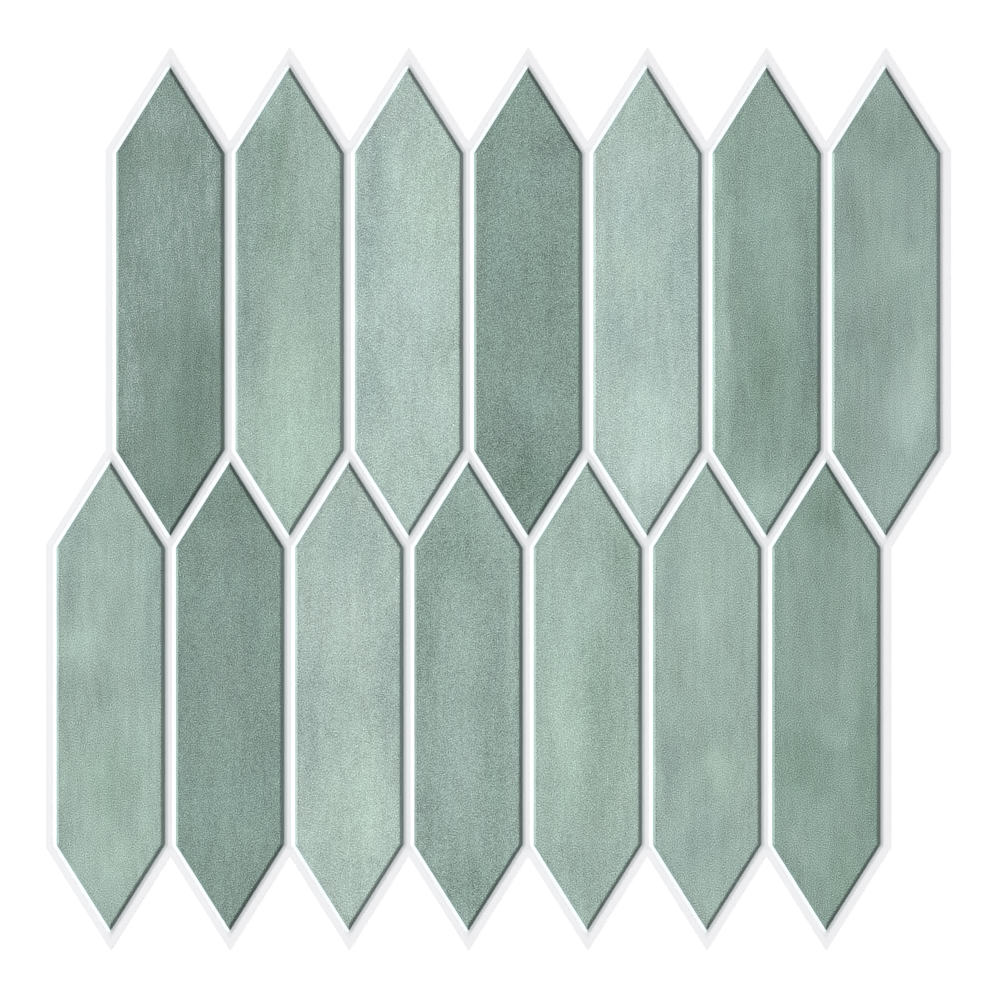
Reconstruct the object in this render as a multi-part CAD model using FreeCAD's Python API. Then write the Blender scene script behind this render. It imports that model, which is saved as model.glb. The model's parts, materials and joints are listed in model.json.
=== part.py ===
import FreeCAD, Part
import math
import os

# Peel and stick wall panel: two staggered rows of raised picket tiles on a moulded white sheet.
# Under the sheet lie the adhesive film and the release liner that is peeled off before use.
# Millimetres. +Z points out of the tile faces, +Y up the wall. The origin is the centre of the
# outline on the underside of the liner, where the panel lies on a level floor.

# Tile pattern
row_names = ["lower", "upper"]
tiles_per_row = 7
tile_width = 36.5
tile_side = 100.0           # straight upright side of a tile
tile_tip = 29.0             # height of each pointed end beyond the straight side
grout_width = 3.7           # gap between tiles, the same on every side
border_width = 3.7          # grout margin outside the outermost tiles

# Tile section, from the plinth up
edge_height = 0.15          # upright edge below the chamfer
chamfer_height = 0.85
chamfer_width = 1.15

# Moulded sheet section
floor_thickness = 1.0       # at the bottom of a grout line
plinth_height = 0.5         # how far a tile's seat stands above the grout line
cove_width = 1.2            # run of the plinth's sloping side

# Backing
adhesive_thickness = 0.2
liner_thickness = 0.12

# Levels above the floor that the panel lies on
adhesive_z = liner_thickness
sheet_z = adhesive_z + adhesive_thickness
grout_z = sheet_z + floor_thickness
plinth_z = grout_z + plinth_height
chamfer_z = plinth_z + edge_height
face_z = chamfer_z + chamfer_height

half_width = tile_width / 2
half_side = tile_side / 2
slope_length = math.hypot(half_width, tile_tip)


def picket_corners(grow):
    """Corners of a tile's outline, moved outward by the same distance on all six sides."""
    right = half_width + grow
    shoulder = half_side + grow * (slope_length - tile_tip) / half_width
    tip = half_side + tile_tip + grow * slope_length / half_width
    return [(right, -shoulder), (right, shoulder), (0, tip),
            (-right, shoulder), (-right, -shoulder), (0, -tip)]


def tile_places():
    """Name and centre of every tile, row by row from the bottom left."""
    cell = picket_corners(grout_width / 2)
    column_pitch = tile_width + grout_width
    row_pitch = cell[1][1] + cell[2][1]
    places = []
    for row, row_name in enumerate(row_names):
        stagger = column_pitch / 4 if row % 2 else -column_pitch / 4
        y = (row - (len(row_names) - 1) / 2) * row_pitch
        for column in range(tiles_per_row):
            x = (column - (tiles_per_row - 1) / 2) * column_pitch + stagger
            places.append((f"{row_name}_tile_{column + 1}", x, y))
    return places


def flat_face(corners):
    return Part.Face(Part.makePolygon(corners + corners[:1]))


def picket_solid(x, y, levels):
    """Closed solid through picket outlines, each given as how far it is grown and its height."""
    rings = []
    for grow, z in levels:
        rings.append([FreeCAD.Vector(x + px, y + py, z) for px, py in picket_corners(grow)])
    faces = [flat_face(rings[0]), flat_face(rings[-1])]
    for lower, upper in zip(rings, rings[1:]):
        for i in range(len(lower)):
            j = (i + 1) % len(lower)
            faces.append(flat_face([lower[i], lower[j], upper[j], upper[i]]))
    solid = Part.Solid(Part.Shell(faces))
    if solid.Volume < 0:
        solid.reverse()
    return solid


def joined(solids):
    return solids[0].multiFuse(solids[1:]).removeSplitter()


def panel_layer(bottom, thickness):
    """Flat layer with the panel's stepped and pointed outline."""
    top = bottom + thickness
    cells = []
    for grow in (border_width, grout_width / 2):
        for _, x, y in tile_places():
            cells.append(picket_solid(x, y, [(grow, bottom), (grow, top)]))
    return joined(cells)


def grout_sheet():
    """White sheet: a flat floor with a sloping-sided plinth moulded up under each tile."""
    solids = [panel_layer(sheet_z, floor_thickness)]
    for _, x, y in tile_places():
        levels = [(cove_width, sheet_z), (cove_width, grout_z), (0, plinth_z)]
        solids.append(picket_solid(x, y, levels))
    return joined(solids)


def picket_tile(x, y):
    """One tile: a short upright edge, then a chamfer up to the flat face."""
    return picket_solid(x, y, [(0, plinth_z), (0, chamfer_z), (-chamfer_width, face_z)])


def main():
    nodes = {
        "grout_sheet": grout_sheet(),
        "adhesive_film": panel_layer(adhesive_z, adhesive_thickness),
        "release_liner": panel_layer(0, liner_thickness),
    }
    for name, x, y in tile_places():
        nodes[name] = picket_tile(x, y)

    os.makedirs("parts", exist_ok=True)
    for name, shape in nodes.items():
        shape.exportStep(f"parts/{name}.step")
        size = shape.BoundBox
        print(f"{name}: {len(shape.Solids)} solid, valid {shape.isValid()}, {shape.Volume / 1000:.2f} cm3, "
              f"{size.XLength:.2f} x {size.YLength:.2f} x {size.ZLength:.2f} mm")


main()
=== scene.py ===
import json
import math

import bpy
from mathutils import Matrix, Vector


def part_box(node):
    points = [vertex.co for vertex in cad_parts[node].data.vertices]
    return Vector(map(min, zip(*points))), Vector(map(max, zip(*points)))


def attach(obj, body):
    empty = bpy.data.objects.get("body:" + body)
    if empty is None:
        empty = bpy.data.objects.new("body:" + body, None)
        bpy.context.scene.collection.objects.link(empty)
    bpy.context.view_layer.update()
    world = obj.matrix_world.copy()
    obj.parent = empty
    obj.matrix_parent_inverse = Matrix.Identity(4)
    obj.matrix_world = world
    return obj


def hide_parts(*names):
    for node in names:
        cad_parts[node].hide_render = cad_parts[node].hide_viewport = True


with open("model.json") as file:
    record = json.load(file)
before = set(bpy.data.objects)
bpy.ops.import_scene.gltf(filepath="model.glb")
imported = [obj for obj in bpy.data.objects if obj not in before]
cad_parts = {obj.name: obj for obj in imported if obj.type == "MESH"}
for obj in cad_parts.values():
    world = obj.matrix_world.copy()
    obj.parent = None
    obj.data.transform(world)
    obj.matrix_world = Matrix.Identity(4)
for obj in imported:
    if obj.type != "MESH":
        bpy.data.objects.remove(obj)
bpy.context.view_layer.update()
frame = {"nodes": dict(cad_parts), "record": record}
scene = bpy.context.scene
mm = 0.001                        # one millimetre in Blender's metres
mergeDistance = 0.001 * mm
tilesPerRow = 7
slotColours = {entry["slot"]: entry["base_color"] for entry in frame["record"]["materials"]}
nodeSlots = {entry["node"]: entry["material_slot"] for entry in frame["record"]["subparts"]}


# One output socket of a node tree. Sums and products on it add Math nodes to that tree.
class Wire:
    def __init__(self, tree, socket=None):
        self.tree = tree
        self.socket = socket

    # adds any node: settings are set first, then its sockets get values, wires or lists of wires
    def node(self, kind, settings=None, inputs=None, output=0):
        made = self.tree.nodes.new(kind)
        for name, setting in (settings or {}).items():
            setattr(made, name, setting)
        for key, value in (inputs or {}).items():
            socket = pickSocket(made.inputs, key)
            wires = value if isinstance(value, list) else [value]
            for wire in wires:
                if isinstance(wire, Wire):
                    self.tree.links.new(wire.socket, socket)
                else:
                    socket.default_value = wire
        return Wire(self.tree, pickSocket(made.outputs, output) if made.outputs else None)

    # another output of the same node
    def other(self, output):
        return Wire(self.tree, pickSocket(self.socket.node.outputs, output))

    def math(self, operation, *values):
        return self.node("ShaderNodeMath", {"operation": operation}, dict(enumerate(values)))

    def vector(self, operation, *values, output=0):
        return self.node("ShaderNodeVectorMath", {"operation": operation}, dict(enumerate(values)), output)

    def axis(self, name):
        return self.node("ShaderNodeSeparateXYZ", {}, {0: self}, name)

    def __add__(self, other):
        return self.math("ADD", self, other)

    def __radd__(self, other):
        return self.math("ADD", other, self)

    def __sub__(self, other):
        return self.math("SUBTRACT", self, other)

    def __rsub__(self, other):
        return self.math("SUBTRACT", other, self)

    def __mul__(self, other):
        return self.math("MULTIPLY", self, other)

    def __rmul__(self, other):
        return self.math("MULTIPLY", other, self)

    def __truediv__(self, other):
        return self.math("DIVIDE", self, other)

    def __rtruediv__(self, other):
        return self.math("DIVIDE", other, self)

    def __pow__(self, other):
        return self.math("POWER", self, other)

    def __abs__(self):
        return self.math("ABSOLUTE", self)

    def atMost(self, limit):
        return self.math("MINIMUM", self, limit)

    def atLeast(self, limit):
        return self.math("MAXIMUM", self, limit)

    def over(self, limit):
        return self.math("GREATER_THAN", self, limit)


def pickSocket(sockets, key):
    if isinstance(key, int):
        return sockets[key]
    return next((socket for socket in sockets if socket.identifier == key), None) or sockets[key]


def joinXYZ(x, y, z):
    return x.node("ShaderNodeCombineXYZ", {}, {"X": x, "Y": y, "Z": z})


# Random clouds between 0 and 1, with size from one to the next
def noise(place, size, seed, detail, roughness=0.5, output="Fac"):
    return place.node("ShaderNodeTexNoise", {"noise_dimensions": "4D"},
                      {"Vector": place, "W": seed, "Scale": 1 / size, "Detail": detail,
                       "Roughness": roughness}, output)


# A place squeezed to a share of itself along the tiles, so that a pattern on it comes out longer
def squeezed(place, share):
    return place.vector("MULTIPLY", place, (1, share, 1))


socketKinds = {
    float: "NodeSocketFloat",
    int: "NodeSocketInt",
    tuple: "NodeSocketVector",
    bpy.types.Material: "NodeSocketMaterial",
}


# An empty geometry tree with one named input for each size, and its input wires
def geometryTree(name, sizes):
    tree = bpy.data.node_groups.new(name, "GeometryNodeTree")
    tree.interface.new_socket("Geometry", in_out="INPUT", socket_type="NodeSocketGeometry")
    tree.interface.new_socket("Geometry", in_out="OUTPUT", socket_type="NodeSocketGeometry")
    for label, value in sizes.items():
        tree.interface.new_socket(label, in_out="INPUT", socket_type=socketKinds[type(value)])
    entry = tree.nodes.new("NodeGroupInput")
    return tree, {socket.name: Wire(tree, socket) for socket in entry.outputs if socket.name}


# Smooth faces with sharp edges where they turn, one material, and no instances left
def finishTree(geometry, sharpAngle, material):
    smooth = geometry.node("GeometryNodeSetShadeSmooth", {"domain": "FACE"}, {"Geometry": geometry})
    turned = geometry.node("GeometryNodeInputMeshEdgeAngle").over(math.radians(sharpAngle))
    creased = geometry.node("GeometryNodeSetShadeSmooth", {"domain": "EDGE"},
                            {"Geometry": smooth, "Selection": turned, "Shade Smooth": False})
    real = geometry.node("GeometryNodeRealizeInstances", {}, {"Geometry": creased})
    painted = geometry.node("GeometryNodeSetMaterial", {}, {"Geometry": real, "Material": material})
    geometry.node("NodeGroupOutput", {}, {0: painted})


# A piece whose mesh is what the tree makes of its sizes, and of a base mesh if it has one
def pieceFromTree(name, tree, sizes, base=None):
    piece = bpy.data.objects.new(name, base or bpy.data.meshes.new(name))
    scene.collection.objects.link(piece)
    modifier = piece.modifiers.new(tree.name, "NODES")
    modifier.node_group = tree
    for item in tree.interface.items_tree:
        if item.in_out == "INPUT" and item.name in sizes:
            modifier[item.identifier] = sizes[item.name]
    evaluated = piece.evaluated_get(bpy.context.evaluated_depsgraph_get())
    mesh = bpy.data.meshes.new_from_object(evaluated)
    piece.modifiers.clear()
    piece.data = mesh
    mesh.name = name
    return piece


# The turn round a picket outline runs from the middle of the left side, anticlockwise, and is 0 in the
# middle of the right side. Half an upright side takes 1.5 of it and a slope 1, so that the corners fall on
# points.
halfUpright = 1.5
quarterTurn = halfUpright + 1


# Points of a ring round a picket outline, drawn in by the same inset on all six sides, and whether they
# are on a slope
def picketRing(turn, inset, size):
    halfWidth, halfSide, tipHeight = size["Half Width"], size["Half Side"], size["Tip Height"]
    slopeLength = (halfWidth * halfWidth + tipHeight * tipHeight) ** 0.5
    right = halfWidth - inset
    shoulder = halfSide - inset * (slopeLength - tipHeight) / halfWidth
    tip = halfSide + tipHeight - inset * slopeLength / halfWidth
    away = abs(turn)
    fold = quarterTurn - abs(away - quarterTurn)
    x = right * (quarterTurn - away).atMost(1).atLeast(-1)
    climb = shoulder * (fold / halfUpright).atMost(1) + (tip - shoulder) * (fold - halfUpright).atLeast(0)
    return x, climb * turn.math("SIGN", turn), fold.over(halfUpright)


# Ring points outside a pointed end, drawn in to within reach of its tip, so that they go round it
def aroundTips(x, y, reach, size):
    tip = size["Half Side"] + size["Tip Height"]
    above = abs(y) - tip
    past = (above * size["Tip Height"] - abs(x) * size["Half Width"]).over(0)
    pull = 1 + (reach / (x * x + above * above) ** 0.5 - 1) * past
    return x * pull, (tip + above * pull) * y.math("SIGN", y)


# A flat grid whose columns go round the outline and whose rows go inward, with both as wires
def ringGrid(size):
    columns, rows = size["Columns"], size["Rows"]
    grid = columns.node("GeometryNodeMeshGrid", {}, {"Size X": 1.0, "Size Y": 1.0,
                                                     "Vertices X": columns + 1, "Vertices Y": rows + 1})
    place = columns.node("GeometryNodeInputPosition")
    row = (place.axis("Y") + 0.5) * rows
    return grid, place.axis("X") * (4 * quarterTurn), row.math("ROUND", row)


def mergeClose(geometry):
    return geometry.node("GeometryNodeMergeByDistance", {},
                         {"Geometry": geometry, "Distance": mergeDistance})


# An empty material with a wire to start its nodes from, and the call that ends it
def newMaterial(name):
    material = bpy.data.materials.new(name)
    material.use_nodes = True
    material.node_tree.nodes.clear()
    return material, Wire(material.node_tree)


def endMaterial(start, shaderInputs):
    shader = start.node("ShaderNodeBsdfPrincipled", {}, shaderInputs)
    start.node("ShaderNodeOutputMaterial", {}, {"Surface": shader})


def mixColour(factor, low, high):
    return factor.node("ShaderNodeMix", {"data_type": "RGBA", "clamp_factor": False},
                       {"Factor_Float": factor, "A_Color": low, "B_Color": high}, "Result_Color")


# The colour made lighter or darker, and drawn towards grey or away from it
def shade(colour, brightness, greyer):
    grey = sum(colour) / 3
    return tuple((channel + (grey - channel) * greyer) * brightness for channel in colour) + (1.0,)


# Object coordinates in millimetres, so that a pattern's size can be read off
def millimetres(start, centre=(0, 0, 0)):
    place = start.node("ShaderNodeTexCoord", {}, {}, "Object")
    return start.node("ShaderNodeMapping", {}, {"Vector": place, "Scale": (1 / mm, 1 / mm, 1 / mm),
                                                "Location": tuple(-c / mm for c in centre)})


def attribute(start, name):
    return start.node("ShaderNodeAttribute", {"attribute_name": name}, {}, "Fac")


def bump(start, height, depth, strength):
    return start.node("ShaderNodeBump", {}, {"Strength": strength, "Distance": depth * mm, "Height": height})


# Picket tiles

tileSizes = {
    "tipHeight": 29.0 * mm,
    "play": 0.12 * mm,            # how much narrower a tile is than its seat, on each side
    "edgeHeight": 0.15 * mm,
    "chamferWidth": 0.92 * mm,
    "softness": 0.06 * mm,        # rounding between the chamfer and the face
    "crown": 0.03 * mm,           # how far the face's middle line stands above its edges
    "waveHeight": 0.05 * mm,      # the face's slow waves
    "waveSize": 16.0 * mm,
    "peelHeight": 0.02 * mm,      # and the fine ones on them
    "peelSize": 2.4 * mm,
    "columns": 600,
    "rows": 44,
    "fineRows": 9,                # the rows are closest on the chamfer and a little beyond it,
    "fineReach": 1.35,            # up to this many chamfer widths
    "sharpAngle": 50,             # edges that turn by more degrees stay sharp
    "firstSeed": 11.0,
    "seedStep": 5,
}

# Lengths here are in millimetres, and tones are shares of the glaze's own colour
glaze = {
    "alongClouds": 0.35,          # how far the patterns are squeezed along the tile
    "alongStreaks": 0.06,
    "alongChalk": 0.2,
    "pebbleSize": 0.8,            # the leather grain: pebbles, from one to the next
    "pebbleTone": 1.45,
    "wrinkleSize": 1.0,           # fine wrinkles that run across the tile
    "wrinkleTilt": 1.62,          # in radians
    "wrinkleUnevenness": 0.5,
    "wrinkleTone": 0.55,
    "wrinklePower": 1.5,          # they grow as this power of how pale the glaze is
    "speckSize": 0.28,
    "speckTone": 1.5,
    "middleGreen": 0.45,          # green of a glaze that is neither pale nor deep
    "contrastPower": 0.8,         # the grain's tone grows as this power of how deep the glaze is
    "grainLift": 0.25,            # the grain's lightest and darkest spots are a little lighter
    "grainDepth": 0.03,
    "grainGloss": 0.15,           # its high parts are this much less rough
    "chamferGrain": 0.3,          # how much of the grain is left at the foot of the chamfer
    "mottleSize": 3.2,
    "mottleTone": 0.34,
    "cloudSize": 17.0,
    "cloudTone": 0.5,
    "hueSize": 7.0,
    "hueTone": 1.5,
    "streakWidth": 1.5,
    "streakTone": 0.7,
    "streakReach": 11.0,          # the streaks come and go over this length
    "chalkWidth": 0.8,            # whitish brush marks where the glaze is light
    "chalkTone": 14.0,
    "chalkColour": (0.6, 0.68, 0.66, 1.0),
    "chalkStart": 0.44,           # the brush noise is chalky above this level
    "chalkLightness": 0.06,       # lightness that counts for the chalk where the patches add none
    "chalkBase": 0.5,             # share of the chalk that lies evenly
    "chalkCatch": 6.0,            # how strongly it catches on the grain
    "chalkLimit": 0.6,
    "driftSize": 8.0,             # the patches are bent over this length,
    "drift": (11.0, 27.5, 0.0),   # by this much across and along the tile
    "chamferFade": 4.0,           # the chamfer's own tones, with its painted shade and highlight, fade over 1 part in 4 of it, below the face
    "slopeShade": 0.26,            # painted shade: the chamfers of the sloping sides are darkened,
    "edgeWidth": 0.3,             # more along their outer edges
    "edgeShade": 0.22,
    "tipWidth": 0.8,              # and most at the tips
    "tipShade": 0.3,
    "chamferHighlight": 0.12,         # painted highlight: the upright sides' chamfers are whitened towards the chalk colour
    "chamferTint": (0.0, 0.0, 0.03),
    "ridgePlace": 1.1,            # a painted shade line runs at this many chamfer widths from the edge
    "ridgeWidth": 0.25,
    "ridgeShade": 0.2,
    "lowestTone": 0.1,
    "roughness": 0.5,
    "specular": 0.12,
    "brightness": 0.963,
    "saturation": 1.02,
}

# What each tint adds to the share of red, green and blue
tints = {
    "plain": (0.0, 0.0, 0.0),
    "moss": (-0.015, 0.012, -0.015),
    "cream": (0.01, 0.01, -0.025),
    "rose": (0.015, -0.01, 0.01),
    "slate": (-0.015, -0.002, 0.018),
}

# How light and how chalky each tile is, how much painted highlight its upright chamfers get (painted shade
# where it is below zero), and its soft patches: x, y, width and height in millimetres from its centre, how
# much lighter (or darker, below zero) the glaze is there, and its tint
tileGlazes = {
    "upper_tile_1": (0.93, 1.0, 0.05, [
        (-1, 62, 9, 8, 0.1, "rose"), (14, 42, 2.5, 17, 0.16, "slate"), (-6, 20, 10, 18, 0.1, "slate"),
        (6, 27, 6, 14, 0.09, "slate"), (14, 2, 2.5, 12, 0.12, "slate"), (-14, -8, 3, 10, 0.1, "slate"),
        (-13, -30, 2.5, 11, 0.16, "slate"), (12, -18, 7, 22, -0.11, "moss"), (4, -43, 8, 14, -0.1, "moss"),
        (-1, -66, 7, 8, -0.12, "moss"), (-16, 44, 3, 20, -0.13, "plain"), (-3, -14, 5, 10, -0.06, "plain")]),
    "upper_tile_2": (1.0, 0.1, 0.0, [
        (-4, 54, 5, 11, -0.22, "moss"), (-5, 27, 6, 20, -0.2, "moss"), (-14, 30, 6, 40, -0.15, "slate"),
        (-15, -12, 5, 16, -0.1, "slate"), (3, -52, 17, 26, 0.21, "cream"), (3, -20, 11, 12, 0.11, "cream"),
        (4, 55, 5, 12, 0.03, "plain")]),
    "upper_tile_3": (1.05, 0.1, -0.12, [
        (-12, 46, 5, 13, -0.18, "slate"), (-14, 18, 5, 18, -0.13, "slate"), (-13, -30, 6, 17, -0.14, "slate"),
        (3, 2, 10, 9, 0.15, "rose"), (7, 30, 9, 22, 0.06, "cream"), (14, -15, 4, 5, -0.12, "plain"),
        (5, -28, 7, 16, 0.04, "plain"), (11, -35, 6, 7, 0.02, "rose"), (-6, 62, 7, 10, -0.08, "rose"),
        (0, 0, 16, 60, 0.01, "slate")]),
    "upper_tile_4": (1.0, 0.25, 0.2, [
        (8, 54, 7, 6, -0.09, "rose"), (0, 42, 14, 7, 0.05, "slate"), (0, -33, 9, 8, 0.06, "slate"),
        (0, -63, 8, 8, -0.18, "moss"), (0, -46, 14, 7, -0.05, "rose"), (-9, 15, 5, 20, 0.03, "slate")]),
    "upper_tile_5": (1.03, 0.15, -0.08, [
        (2, 62, 8, 8, -0.05, "moss"), (-6, 42, 8, 7, 0.03, "rose"), (-6, 28, 9, 10, -0.05, "slate"),
        (13, 10, 5, 36, -0.12, "slate"), (-3, 10, 7, 9, 0.03, "cream"), (-10, -12, 7, 14, -0.07, "slate"),
        (4, -38, 13, 16, 0.15, "plain"), (0, -57, 9, 8, 0.19, "rose"), (0, 0, 16, 60, 0.01, "slate")]),
    "upper_tile_6": (1.0, 0.3, 0.15, [
        (-15.5, -5, 2.2, 56, 0.31, "rose"), (-2, 30, 8, 14, 0.09, "slate"),
        (14, -10, 4.5, 42, -0.22, "slate"), (0, -22, 7, 22, -0.14, "moss"), (3, 11, 6, 8, 0.04, "rose"),
        (0, -66, 9, 8, 0.31, "rose"), (0, 64, 8, 8, 0.05, "rose")]),
    "upper_tile_7": (0.95, 0.25, 0.3, [
        (0, 58, 12, 8, -0.15, "moss"), (-12, 26, 6, 14, -0.16, "plain"), (6, 14, 6, 6, 0.14, "cream"),
        (-9, -8, 7, 10, -0.13, "plain"), (12, -14, 4, 14, 0.2, "cream"), (9, -34, 6, 15, 0.32, "rose"),
        (0, -40, 9, 12, 0.08, "rose"), (-12, -45, 5, 10, -0.03, "moss"), (0, -64, 8, 9, 0.14, "rose")]),
    "lower_tile_1": (1.01, 0.1, -0.04, [
        (-10, 55, 6, 9, -0.11, "slate"), (8, 48, 8, 8, 0.04, "slate"), (-16, 38, 4, 10, -0.16, "slate"),
        (-10, 20, 11, 7, 0.16, "plain"), (-2, 2, 20, 6, -0.08, "plain"), (14, 25, 4, 30, -0.12, "slate"),
        (0, -30, 12, 14, -0.04, "moss"), (4, -55, 8, 8, 0.11, "cream"), (12, -30, 4, 20, 0.05, "plain"),
        (-16, -45, 3, 8, -0.14, "slate")]),
    "lower_tile_2": (1.0, 0.25, 0.22, [
        (0, 64, 10, 7, -0.13, "moss"), (-3, 32, 10, 8, 0.06, "slate"), (0, 51, 12, 8, -0.06, "rose"),
        (0, 6, 14, 14, -0.01, "rose"), (0, -36, 14, 12, 0.04, "slate"), (-10, 20, 5, 8, 0.03, "plain")]),
    "lower_tile_3": (1.0, 0.1, -0.02, [
        (-2, 55, 10, 9, -0.03, "slate"), (-2, 28, 11, 15, 0.06, "rose"), (14, 4, 5, 28, -0.13, "slate"),
        (-12, -2, 6, 12, -0.11, "slate"), (4, -40, 12, 24, 0.11, "cream"), (5, -2, 8, 6, -0.07, "plain"),
        (-15, -24, 3, 12, -0.09, "slate")]),
    "lower_tile_4": (1.03, 0.2, -0.22, [
        (-4, 50, 9, 14, -0.19, "moss"), (13.5, 22, 1.2, 34, 0.19, "cream"), (-14, 20, 4, 30, -0.15, "moss"),
        (-4, 22, 8, 22, 0.07, "plain"), (0, -22, 9, 14, 0.11, "rose"), (9, -25, 4, 20, -0.09, "moss"),
        (0, -63, 9, 10, -0.2, "moss"), (-15, -38, 4, 10, -0.14, "plain")]),
    "lower_tile_5": (1.03, 0.2, -0.06, [
        (13, 45, 5, 16, -0.12, "moss"), (-6, 26, 6, 14, 0.04, "slate"), (-8, -12, 7, 28, 0.18, "cream"),
        (3, 5, 4, 20, -0.1, "moss"), (7, -22, 8, 26, -0.09, "cream"), (-3, -62, 8, 10, -0.06, "plain")]),
    "lower_tile_6": (0.98, 0.15, -0.08, [
        (3, -24, 7, 9, 0.14, "cream"), (-12, -24, 4, 9, -0.19, "slate"), (-12, 40, 3.5, 14, -0.09, "slate"),
        (2, 30, 10, 10, 0.05, "plain"), (-4, -50, 12, 10, -0.09, "slate"), (0, -14, 14, 5, -0.07, "plain"),
        (8, 6, 8, 8, 0.04, "plain")]),
    "lower_tile_7": (0.98, 0.3, 0.03, [
        (0, 62, 7, 8, -0.22, "moss"), (9, 25, 3, 28, 0.11, "rose"), (-12, 28, 3, 14, 0.09, "rose"),
        (0, 5, 8, 10, 0.09, "rose"), (-10, -20, 9, 8, -0.13, "moss"), (-9, -50, 6, 6, 0.11, "rose"),
        (6, -60, 7, 10, 0, "moss"), (5, -12, 8, 4, 0.16, "plain"), (14, -20, 4, 20, -0.16, "moss")]),
}


# Closed picket tile in rings. Row 0 is the underside's middle, row 1 its edge and row 2 the chamfer's foot,
# and the others go up the chamfer and in over the waved face.
def makeTileTree(sizes):
    tree, size = geometryTree("picket tile", sizes)
    grid, turn, row = ringGrid(size)
    fineRows = tileSizes["fineRows"]
    zone = size["Chamfer Width"] * tileSizes["fineReach"]
    ring = (row - 2).atLeast(0)
    inner = ((ring - fineRows) / (size["Rows"] - 2 - fineRows)).atLeast(0)
    inset = zone * (ring / fineRows).atMost(1) + (size["Half Width"] - zone) * inner
    outward = row.over(0.5)
    inset = inset * outward + size["Half Width"] * (1 - outward)
    x, y, slope = picketRing(turn, inset, size)

    rise = size["Height"] - size["Edge Height"]
    ramp = size["Edge Height"] + inset * rise / size["Chamfer Width"]
    level = ramp.math("SMOOTH_MIN", ramp, size["Height"], size["Softness"])
    middle = 1 - inset / size["Half Width"]
    onFace = (inset / size["Chamfer Width"]).atMost(1)
    flat = joinXYZ(x, y, 0.0)
    waves = noise(flat, size["Wave Size"], size["Seed"], detail=1.0) * size["Wave Height"]
    peel = noise(flat, size["Peel Size"], size["Seed"] + 7.3, detail=2.0) * size["Peel Height"]
    sunk = (middle * middle * size["Crown"] + waves + peel) * onFace * onFace
    z = (level - sunk) * row.over(1.5)

    kept = grid
    for label, value in (("inset", inset), ("slope", slope)):
        kept = kept.node("GeometryNodeStoreNamedAttribute", {"data_type": "FLOAT", "domain": "POINT"},
                         {"Geometry": kept, "Name": label, "Value": value})
    local = joinXYZ(x, y, z)
    moved = kept.node("GeometryNodeSetPosition", {},
                      {"Geometry": kept, "Position": local.vector("ADD", local, size["Centre"])})
    finishTree(mergeClose(moved), tileSizes["sharpAngle"], size["Material"])
    return tree


def softPatch(place, x, y, width, height):
    offset = place.vector("SUBTRACT", place, (x, y, 0))
    offset = offset.vector("MULTIPLY", offset, (1 / width, 1 / height, 0))
    squared = offset.vector("DOT_PRODUCT", offset, offset, output="Value")
    return squared.math("EXPONENT", squared * -1)


# Ripples about zero, with size from one to the next. With no unevenness they run all ways, and with more
# they keep to one tilt.
def ripples(place, size, unevenness=0, tilt=0):
    perCell = 2.0
    return place.node("ShaderNodeTexGabor", {"gabor_type": "2D"},
                      {"Vector": place, "Scale": 1 / (perCell * size), "Frequency": perCell,
                       "Anisotropy": unevenness, "Orientation 2D": tilt}, "Value") - 0.5
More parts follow.
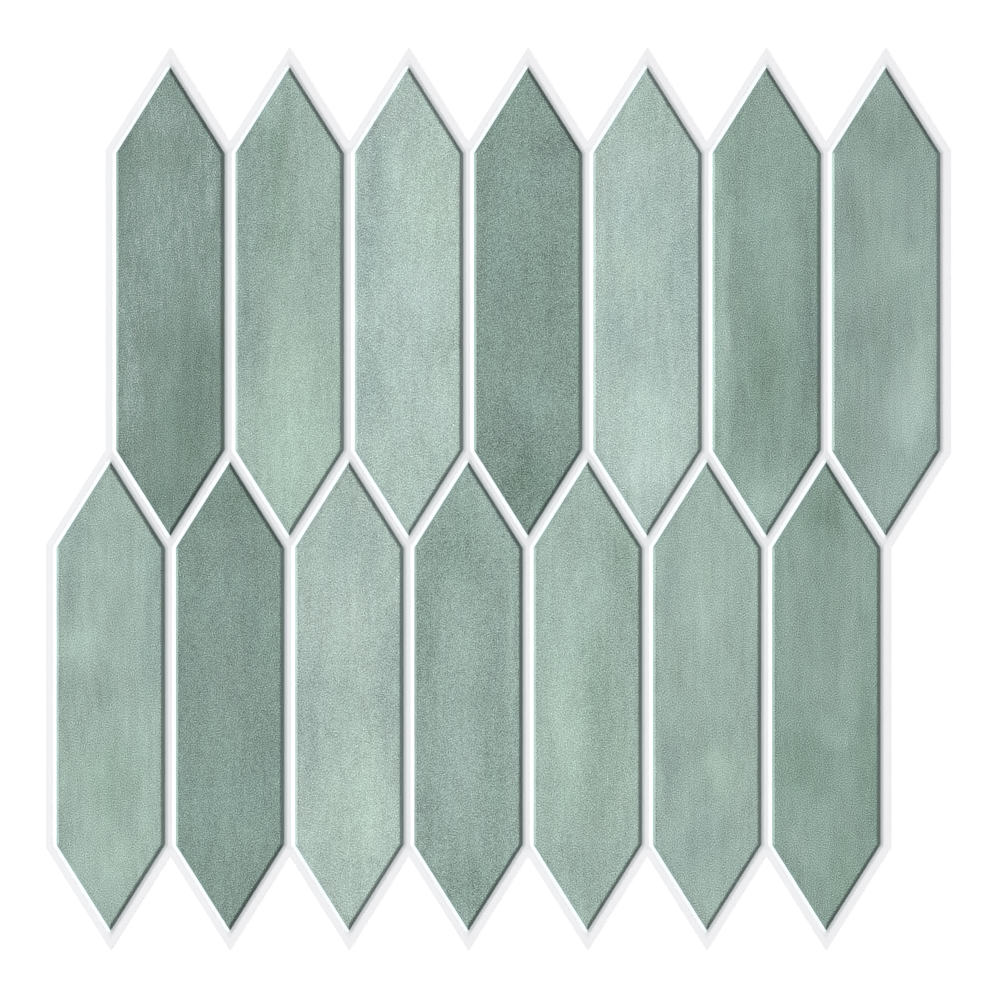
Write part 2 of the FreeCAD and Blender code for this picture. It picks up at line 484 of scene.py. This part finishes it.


# Clouded, brushed glaze with a fine leather grain, and painted shade and highlight on its chamfers. Its tone
# starts at 1 and each effect adds its share.
# Each pattern has a seed of its own, a little above the tile's.
def glazeMaterial(tileName, centre, seed):
    colour = slotColours[nodeSlots[tileName]]
    level, chalkiness, chamferLight, patches = tileGlazes[tileName]
    material, start = newMaterial(f"{tileName}_glaze")
    place = millimetres(start)
    local = millimetres(start, centre)
    clouded = squeezed(place, glaze["alongClouds"])
    brushed = squeezed(place, glaze["alongStreaks"])

    # where the chamfer, its top edge and the face are, from the distance to the tile's edge
    chamferWidth = tileSizes["chamferWidth"] / mm
    inset = attribute(start, "inset") / mm
    fade = glaze["chamferFade"]
    onFace = (inset / chamferWidth).atMost(1)
    onChamfer = (fade - inset * (fade / chamferWidth)).atLeast(0).atMost(1)
    onSlope = attribute(start, "slope")
    onUpright = onChamfer * (1 - onSlope)
    # painted shade line just inside the top of the chamfer
    ridge = (inset - chamferWidth * glaze["ridgePlace"]) / glaze["ridgeWidth"]
    ridge = ridge.math("EXPONENT", ridge * ridge * -1)

    paleness = (colour[1] / glaze["middleGreen"]) ** glaze["wrinklePower"]
    contrast = (glaze["middleGreen"] / colour[1]) ** glaze["contrastPower"]
    pebbles = ripples(place, glaze["pebbleSize"]) * glaze["pebbleTone"]
    wrinkles = ripples(place, glaze["wrinkleSize"], glaze["wrinkleUnevenness"], glaze["wrinkleTilt"])
    specks = (noise(place, glaze["speckSize"], seed + 8, detail=0.0) - 0.5) * glaze["speckTone"]
    grain = pebbles + wrinkles * (glaze["wrinkleTone"] * paleness) + specks
    grain = grain * (glaze["chamferGrain"] + onFace * onFace * onFace * (1 - glaze["chamferGrain"]))
    grainTone = grain * contrast

    clouds = noise(clouded, glaze["cloudSize"], seed, detail=5.0, roughness=0.62)
    mottle = noise(clouded, glaze["mottleSize"], seed + 7, detail=3.0, roughness=0.6)
    streaks = noise(brushed, glaze["streakWidth"], seed + 3, detail=4.0, roughness=0.7)
    streaks = (streaks - 0.5) * noise(place, glaze["streakReach"], seed + 5, detail=2.0)
    tone = 1 + grainTone + grainTone * grainTone * glaze["grainLift"]
    tone = tone + (clouds - 0.5) * glaze["cloudTone"] + (mottle - 0.5) * glaze["mottleTone"]
    tone = tone + streaks * glaze["streakTone"]
    # painted shade on the sloping sides' chamfers, heaviest along their outer edges and at the tips, and
    # painted highlight on the upright chamfers
    atEdge = (1 - inset / glaze["edgeWidth"]).atLeast(0)
    atTip = (1 - abs(local.axis("X")) / glaze["tipWidth"]).atLeast(0) * (1 - inset / chamferWidth).atLeast(0)
    paintedShade = onChamfer * glaze["slopeShade"] + atEdge * glaze["edgeShade"] + atTip * glaze["tipShade"]
    tone = tone + onUpright * chamferLight - onSlope * paintedShade - ridge * glaze["ridgeShade"]
    tone = tone.atLeast(glaze["lowestTone"])

    # what the tint, the patches and the hues add to each of red, green and blue
    drift = noise(clouded, glaze["driftSize"], seed, detail=3.0, output="Color")
    drift = drift.vector("SUBTRACT", drift, (0.5, 0.5, 0.5))
    warped = local.vector("ADD", local, drift.vector("MULTIPLY", drift, glaze["drift"]))
    share = onChamfer.vector("MULTIPLY", onChamfer, glaze["chamferTint"])
    for x, y, width, height, lift, tint in patches:
        strength = softPatch(warped, x, y, width, height)
        lifted = tuple(lift + part for part in tints[tint])
        share = strength.vector("MULTIPLY_ADD", strength, lifted, share)
    for low, high, shift in (("moss", "rose", 2.0), ("slate", "cream", 4.0)):
        hue = noise(clouded, glaze["hueSize"], seed + shift, detail=3.0, roughness=0.6)
        hue = (hue - 0.5) * glaze["hueTone"]
        difference = tuple(b - a for a, b in zip(tints[low], tints[high]))
        share = hue.vector("MULTIPLY_ADD", hue, difference, share)

    chalkPlace = squeezed(place, glaze["alongChalk"])
    marks = noise(chalkPlace, glaze["chalkWidth"], seed + 9, detail=3.0, roughness=0.7)
    lightness = (share.axis("Y") + glaze["chalkLightness"]).atLeast(0)
    caught = (glaze["chalkBase"] + grain * glaze["chalkCatch"]).atLeast(0)
    chalkAndHighlight = (marks - glaze["chalkStart"]).atLeast(0) * lightness * caught
    # besides the real chalk, the upright chamfers get a painted highlight, whitened as the chalk is
    chalkAndHighlight = chalkAndHighlight * (glaze["chalkTone"] * chalkiness) + onUpright * glaze["chamferHighlight"]
    share = share.vector("ADD", share, tone)
    colour = shade(colour, glaze["brightness"] * level, 1 - glaze["saturation"])
    painted = share.vector("MULTIPLY", share, colour[:3])
    endMaterial(start, {
        "Base Color": mixColour(chalkAndHighlight.atMost(glaze["chalkLimit"]), painted, glaze["chalkColour"]),
        "Roughness": glaze["roughness"] - grain * glaze["grainGloss"],
        "Specular IOR Level": glaze["specular"],
        "Normal": bump(start, grain, glaze["grainDepth"], 1.0),
    })
    return material


def makeTiles():
    tree = None
    tipHeight, play = tileSizes["tipHeight"], tileSizes["play"]
    for number, name in enumerate(tileGlazes):
        low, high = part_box(name)
        middle = (low + high) / 2
        centre = (middle.x, middle.y, low.z)
        halfWidth = (high.x - low.x) / 2
        slopeLength = math.hypot(halfWidth, tipHeight)
        seed = tileSizes["firstSeed"] + number * tileSizes["seedStep"]
        sizes = {
            "Centre": centre,
            "Half Width": halfWidth - play,
            "Half Side": (high.y - low.y) / 2 - tipHeight - play * (slopeLength - tipHeight) / halfWidth,
            "Tip Height": tipHeight * (1 - play / halfWidth),
            "Height": high.z - low.z,
            "Edge Height": tileSizes["edgeHeight"],
            "Chamfer Width": tileSizes["chamferWidth"],
            "Softness": tileSizes["softness"],
            "Crown": tileSizes["crown"],
            "Wave Height": tileSizes["waveHeight"],
            "Wave Size": tileSizes["waveSize"],
            "Peel Height": tileSizes["peelHeight"],
            "Peel Size": tileSizes["peelSize"],
            "Columns": tileSizes["columns"],
            "Rows": tileSizes["rows"],
            "Seed": seed,
            "Material": glazeMaterial(name, centre, seed),
        }
        tree = tree or makeTileTree(sizes)
        tile = pieceFromTree(f"{name}_glazed", tree, sizes)
        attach(tile, "root")
        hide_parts(name)
        print(f"{tile.name}: {len(tile.data.polygons)} faces")


# Moulded grout sheet

sheetSizes = {
    "borderWidth": 3.7 * mm,
    "coveWidth": 1.2 * mm,
    "plinthHeight": 0.5 * mm,
    "seatHeight": 0.14 * mm,      # the top of the plinth is upright, and the cove starts below it
    "coveCurve": 1.15,            # 1 is a straight slope, and more is hollower at the foot
    "rimRadius": 0.05 * mm,
    "rimSteps": 4,
    "flatStrip": 0.05 * mm,       # level strip inside the rounded rim, so that the face shades flat
    "columns": 400,
    "coveRows": 9,
    "sharpAngle": 25,
}

# Lengths in millimetres
groutFinish = {
    "brightness": (0.86, 0.96),   # at the darkest and the lightest
    "greyer": 0.4,
    "cloudSize": 25.0,
    "cloudShare": 0.4,
    "borderLightShare": 0.8,              # painted light: the border is lighter than the grout between the tiles,
    "rimFade": 0.8,               # and whitens over this length outside the coves
    "tileBounce": (-0.1, 0.0, -0.02),    # painted green bounce from the tile: change of red, green and blue at the top of the cove
    "pitSize": 0.5,
    "pitDepth": 0.01,
    "pitStrength": 0.6,
    "roughness": 0.42,
    "pitRoughness": 0.16,
}


def tileCentres(row):
    boxes = [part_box(f"{row}_tile_{column + 1}") for column in range(tilesPerRow)]
    return [(low + high) / 2 for low, high in boxes]


# Corners of the panel's outline from the left step over the upper tips to the right step. The other
# half is the same, turned half round.
def panelOutline(border):
    low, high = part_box("upper_tile_1")
    halfWidth = (high.x - low.x) / 2
    tipHeight = tileSizes["tipHeight"]
    halfSide = (high.y - low.y) / 2 - tipHeight
    slopeLength = math.hypot(halfWidth, tipHeight)
    right = halfWidth + border
    shoulder = halfSide + border * (slopeLength - tipHeight) / halfWidth
    tip = halfSide + tipHeight + border * slopeLength / halfWidth
    fall = tipHeight / halfWidth
    upper = tileCentres("upper")
    below = tileCentres("lower")[0]
    left = upper[0].x - right
    corners = [(left, below.y + tip - fall * (below.x - left)), (left, upper[0].y + shoulder)]
    for centre, following in zip(upper, upper[1:]):
        corners.append((centre.x, centre.y + tip))
        corners.append(((centre.x + following.x) / 2, centre.y + tip - fall * (following.x - centre.x) / 2))
    last = upper[-1]
    corners.append((last.x, last.y + tip))
    corners.append((last.x + right, last.y + shoulder))
    corners.append((last.x + right, last.y - shoulder))
    corners += [(-x, -y) for x, y in corners]
    return corners[::-1]          # anticlockwise from above


# The sheet's upright side and its rounded top rim, as a band that is open above and below
def rimBand(under, top):
    border, radius, steps = sheetSizes["borderWidth"], sheetSizes["rimRadius"], sheetSizes["rimSteps"]
    rings = [(border, under)]
    for step in range(steps + 1):
        angle = math.pi / 2 * step / steps
        rings.append((border - radius * (1 - math.cos(angle)), top - radius * (1 - math.sin(angle))))
    rings.append((border - radius - sheetSizes["flatStrip"], top))
    points, faces = [], []
    for grow, z in rings:
        points += [(x, y, z) for x, y in panelOutline(grow)]
    count = len(points) // len(rings)
    for ring in range(len(rings) - 1):
        for i in range(count):
            j = (i + 1) % count
            faces.append([ring * count + i, ring * count + j, (ring + 1) * count + j, (ring + 1) * count + i])
    mesh = bpy.data.meshes.new("rim")
    mesh.from_pydata(points, [], faces)
    return mesh


def edgeLoop(mesh, selection):
    return mesh.node("GeometryNodeMeshToCurve", {}, {"Mesh": mesh, "Selection": selection})


def filled(curve, level):
    flat = curve.node("GeometryNodeFillCurve", {"mode": "TRIANGLES"}, {"Curve": curve})
    lift = level.node("ShaderNodeCombineXYZ", {}, {"Z": level})
    return flat.node("GeometryNodeTransform", {}, {"Geometry": flat, "Translation": lift})


def joined(wires):
    return wires[0].node("GeometryNodeJoinGeometry", {}, {0: wires})


# A plinth with coved sides under each tile, set in a flat face inside the rim that the base mesh brings.
# Row 0 lies level outside the cove, the next ones go up it, and the last three are the seat's foot, its top
# edge and its middle.
def makeSheetTree(sizes):
    tree, size = geometryTree("moulded sheet", sizes)
    grid, turn, row = ringGrid(size)
    coveRows = sheetSizes["coveRows"]
    run = (row - 1) / coveRows
    inset = (run.atMost(1) - 1) * size["Cove Width"] + size["Half Width"] * row.over(coveRows + 2.5)
    x, y = picketRing(turn, inset, size)[:2]
    x, y = aroundTips(x, y, inset * -1, size)
    climb = run.atLeast(0).atMost(1) ** size["Cove Curve"]
    z = climb * (size["Plinth Height"] - size["Seat Height"]) + size["Grout Level"]
    z = z + size["Seat Height"] * row.over(coveRows + 1.5)
    kept = grid.node("GeometryNodeStoreNamedAttribute", {"data_type": "FLOAT", "domain": "POINT"},
                     {"Geometry": grid, "Name": "climb", "Value": climb})
    plinth = grid.node("GeometryNodeSetPosition", {}, {"Geometry": kept, "Position": joinXYZ(x, y, z)})

    rows = []
    step = size["Column Pitch"].node("ShaderNodeCombineXYZ", {}, {"X": size["Column Pitch"]})
    halfRow = size["Column Pitch"] * ((tilesPerRow - 1) / 2)
    for side in (-1, 1):
        first = joinXYZ(size["Stagger"] * side - halfRow, size["Row Pitch"] * (side / 2), 0.0)
        rows.append(first.node("GeometryNodeMeshLine", {"mode": "OFFSET"},
                               {"Count": tilesPerRow, "Start Location": first, "Offset": step}))
    plinths = plinth.node("GeometryNodeInstanceOnPoints", {},
                          {"Points": joined(rows), "Instance": mergeClose(plinth)})
    plinths = plinths.node("GeometryNodeRealizeInstances", {}, {"Geometry": plinths})

    rim = size["Geometry"]
    openEdge = 1 - rim.node("GeometryNodeInputMeshEdgeNeighbors").over(1.5)
    above = rim.node("GeometryNodeInputPosition").axis("Z").over(size["Middle Level"])
    loops = [edgeLoop(rim, openEdge * above), edgeLoop(plinths, openEdge)]
    face = filled(joined(loops), size["Grout Level"])
    under = filled(edgeLoop(rim, openEdge * (1 - above)), size["Under Level"])
    under = under.node("GeometryNodeFlipFaces", {}, {"Mesh": under})
    whole = mergeClose(joined([rim, plinths, face, under]))
    toRim = rim.node("GeometryNodeProximity", {"target_element": "EDGES"}, {"Geometry": rim}, "Distance")
    marked = whole.node("GeometryNodeStoreNamedAttribute", {"data_type": "FLOAT", "domain": "POINT"},
                        {"Geometry": whole, "Name": "toRim", "Value": toRim})
    finishTree(marked, sheetSizes["sharpAngle"], size["Material"])
    return tree


# Matt white moulded plastic, faintly clouded and pitted, with painted light on its border and painted green
# bounce at the top of the coves
def groutMaterial():
    material, start = newMaterial("grout_white")
    colour = slotColours["grout_white"]
    low, high = groutFinish["brightness"]
    place = millimetres(start)
    clouds = noise(place, groutFinish["cloudSize"], 4.0, detail=3.0)
    toRim = attribute(start, "toRim") / mm
    flatBorder = (sheetSizes["borderWidth"] - sheetSizes["coveWidth"]) / mm
    # painted light on the flat border by the rim, against painted shade on the grout between the tiles
    borderLight = ((flatBorder - toRim) / groutFinish["rimFade"]).atLeast(0).atMost(1)
    white = mixColour(clouds * groutFinish["cloudShare"] + borderLight * groutFinish["borderLightShare"],
                      shade(colour, low, groutFinish["greyer"]), shade(colour, high, groutFinish["greyer"]))
    climb = attribute(start, "climb")
    # painted green light bounced off the tile, strongest at the top of the cove
    tint = climb.vector("MULTIPLY_ADD", climb, groutFinish["tileBounce"], (1, 1, 1))
    pits = noise(place, groutFinish["pitSize"], 9.0, detail=3.0)
    endMaterial(start, {
        "Base Color": white.vector("MULTIPLY", white, tint),
        "Roughness": groutFinish["roughness"] + pits * groutFinish["pitRoughness"],
        "Normal": bump(start, pits, groutFinish["pitDepth"], groutFinish["pitStrength"]),
    })
    return material


def makeSheet():
    low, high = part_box("grout_sheet")
    first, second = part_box("upper_tile_1"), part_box("upper_tile_2")
    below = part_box("lower_tile_1")
    tileLow, tileHigh = first
    groutLevel = tileLow.z - sheetSizes["plinthHeight"]
    sizes = {
        "Half Width": (tileHigh.x - tileLow.x) / 2,
        "Half Side": (tileHigh.y - tileLow.y) / 2 - tileSizes["tipHeight"],
        "Tip Height": tileSizes["tipHeight"],
        "Column Pitch": second[0].x - tileLow.x,
        "Row Pitch": tileLow.y - below[0].y,
        "Stagger": (tileLow.x - below[0].x) / 2,
        "Cove Width": sheetSizes["coveWidth"],
        "Cove Curve": sheetSizes["coveCurve"],
        "Plinth Height": sheetSizes["plinthHeight"],
        "Seat Height": sheetSizes["seatHeight"],
        "Grout Level": groutLevel,
        "Middle Level": (low.z + groutLevel) / 2,
        "Under Level": low.z,
        "Columns": sheetSizes["columns"],
        "Rows": sheetSizes["coveRows"] + 3,
        "Material": groutMaterial(),
    }
    tree = makeSheetTree(sizes)
    sheet = pieceFromTree("grout_sheet_moulded", tree, sizes, rimBand(low.z, groutLevel))
    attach(sheet, "root")
    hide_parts("grout_sheet")
    print(f"{sheet.name}: {len(sheet.data.polygons)} faces")


# Adhesive film and release liner keep their own solids and get their finish here. Lengths in millimetres.

film = {
    "brightness": (0.93, 1.04),
    "greyer": (0, 0.1),
    "rippleSize": 3.0,
    "rippleDepth": 0.02,
    "rippleStrength": 0.5,
    "roughness": 0.18,
    "rippleRoughness": 0.2,
}

liner = {
    "brightness": (0.92, 1.05),
    "greyer": (0, 0.1),
    "fibreSize": 0.6,
    "alongFibres": 0.2,
    "fibreShare": 0.7,            # of the change of colour, and the cockle has the rest
    "cockleSize": 40.0,
    "cockleShare": 0.3,
    "fibreHeight": 0.1,           # against the cockle's 1
    "depth": 0.2,
    "strength": 0.5,
    "roughness": 0.62,
    "fibreRoughness": 0.15,
}


# From the darker to the lighter shade of a backing layer's colour
def backingColour(factor, slot, finish):
    low, high = [shade(slotColours[slot], *pair) for pair in zip(finish["brightness"], finish["greyer"])]
    return mixColour(factor, low, high)


def filmMaterial():
    material, start = newMaterial("adhesive_film_tack")
    ripple = noise(millimetres(start), film["rippleSize"], 2.0, detail=3.0)
    endMaterial(start, {
        "Base Color": backingColour(ripple, "adhesive", film),
        "Roughness": film["roughness"] + ripple * film["rippleRoughness"],
        "Normal": bump(start, ripple, film["rippleDepth"], film["rippleStrength"]),
    })
    return material


def linerMaterial():
    material, start = newMaterial("liner_paper")
    place = millimetres(start)
    fibres = noise(squeezed(place, liner["alongFibres"]), liner["fibreSize"], 5.0, detail=4.0, roughness=0.7)
    cockle = noise(place, liner["cockleSize"], 6.0, detail=2.0)
    mixed = fibres * liner["fibreShare"] + cockle * liner["cockleShare"]
    endMaterial(start, {
        "Base Color": backingColour(mixed, "liner_paper", liner),
        "Roughness": liner["roughness"] + fibres * liner["fibreRoughness"],
        "Normal": bump(start, fibres * liner["fibreHeight"] + cockle, liner["depth"], liner["strength"]),
    })
    return material


def dressBacking():
    for name, material in (("adhesive_film", filmMaterial()), ("release_liner", linerMaterial())):
        for slot in frame["nodes"][name].material_slots:
            slot.link = "OBJECT"
            slot.material = material


# Floor, lamps and camera

studio = {
    "keyLevel": 0.83,             # share of the light on a level face that the lamp gives
    "keyElevation": 45.0,         # in degrees
    "keySpread": 24.0,            # how wide the lamp looks from the panel, in degrees
    "worldLevel": 0.17,           # share that comes evenly from all round
    "floorSize": 8.0,
    "floorDrop": 0.01 * mm,       # how far it lies under the liner
    "floorColour": (0.9, 0.9, 0.9, 1.0),
    "floorGlow": 0.85,            # share of the floor's plain white in what the camera sees
    "glowStrength": 1.12,         # brings the floor to white in the picture
    "lens": 150.0,                # in millimetres
    "viewWidth": 336.85 * mm,     # width of what the camera sees at the tile faces
    "viewCentre": (0.68 * mm, -0.36 * mm),
}


# 1 for what the camera sees, directly or in a gloss or through glass
def seenDirectly(start):
    rays = start.node("ShaderNodeLightPath", {}, {}, "Is Camera Ray")
    seen = rays + rays.other("Is Glossy Ray") + rays.other("Is Transmission Ray")
    return seen.atMost(1)


def makeFloor():
    size = studio["floorSize"] / 2
    level = -studio["floorDrop"]
    mesh = bpy.data.meshes.new("floor")
    mesh.from_pydata([(-size, -size, level), (size, -size, level), (size, size, level), (-size, size, level)],
                     [], [(0, 1, 2, 3)])
    floor = bpy.data.objects.new("floor", mesh)
    scene.collection.objects.link(floor)
    material, start = newMaterial("floor_white")
    board = start.node("ShaderNodeBsdfDiffuse", {}, {"Color": studio["floorColour"]})
    glow = start.node("ShaderNodeEmission", {}, {"Color": (1, 1, 1, 1), "Strength": studio["glowStrength"]})
    mixed = start.node("ShaderNodeMixShader", {}, {0: seenDirectly(start) * studio["floorGlow"],
                                                   1: board, 2: glow})
    start.node("ShaderNodeOutputMaterial", {}, {"Surface": mixed})
    mesh.materials.append(material)


def makeLights():
    world = bpy.data.worlds.new("studio")
    world.use_nodes = True
    world.node_tree.nodes.clear()
    start = Wire(world.node_tree)
    level = studio["worldLevel"]
    strength = level + seenDirectly(start) * (1 - level)
    light = start.node("ShaderNodeBackground", {}, {"Color": (1, 1, 1, 1), "Strength": strength})
    start.node("ShaderNodeOutputWorld", {}, {"Surface": light})
    scene.world = world

    angle = math.radians(studio["keyElevation"])
    lamp = bpy.data.lights.new("key", "SUN")
    lamp.angle = math.radians(studio["keySpread"])
    lamp.energy = studio["keyLevel"] * math.pi / math.sin(angle)
    key = bpy.data.objects.new("key", lamp)
    key.location = (-math.cos(angle), 0, math.sin(angle))
    key.rotation_euler = (0, angle - math.pi / 2, 0)
    key.visible_camera = False
    scene.collection.objects.link(key)


def makeCamera():
    lens = bpy.data.cameras.new("camera")
    lens.lens = studio["lens"]
    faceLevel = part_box("upper_tile_1")[1].z
    distance = studio["viewWidth"] * lens.lens / lens.sensor_width
    camera = bpy.data.objects.new("camera", lens)
    camera.location = (*studio["viewCentre"], faceLevel + distance)
    scene.collection.objects.link(camera)
    scene.camera = camera


scene.view_settings.view_transform = "Standard"
makeTiles()
makeSheet()
dressBacking()
print("panel dressed")
makeFloor()
makeLights()
makeCamera()
print("studio set")
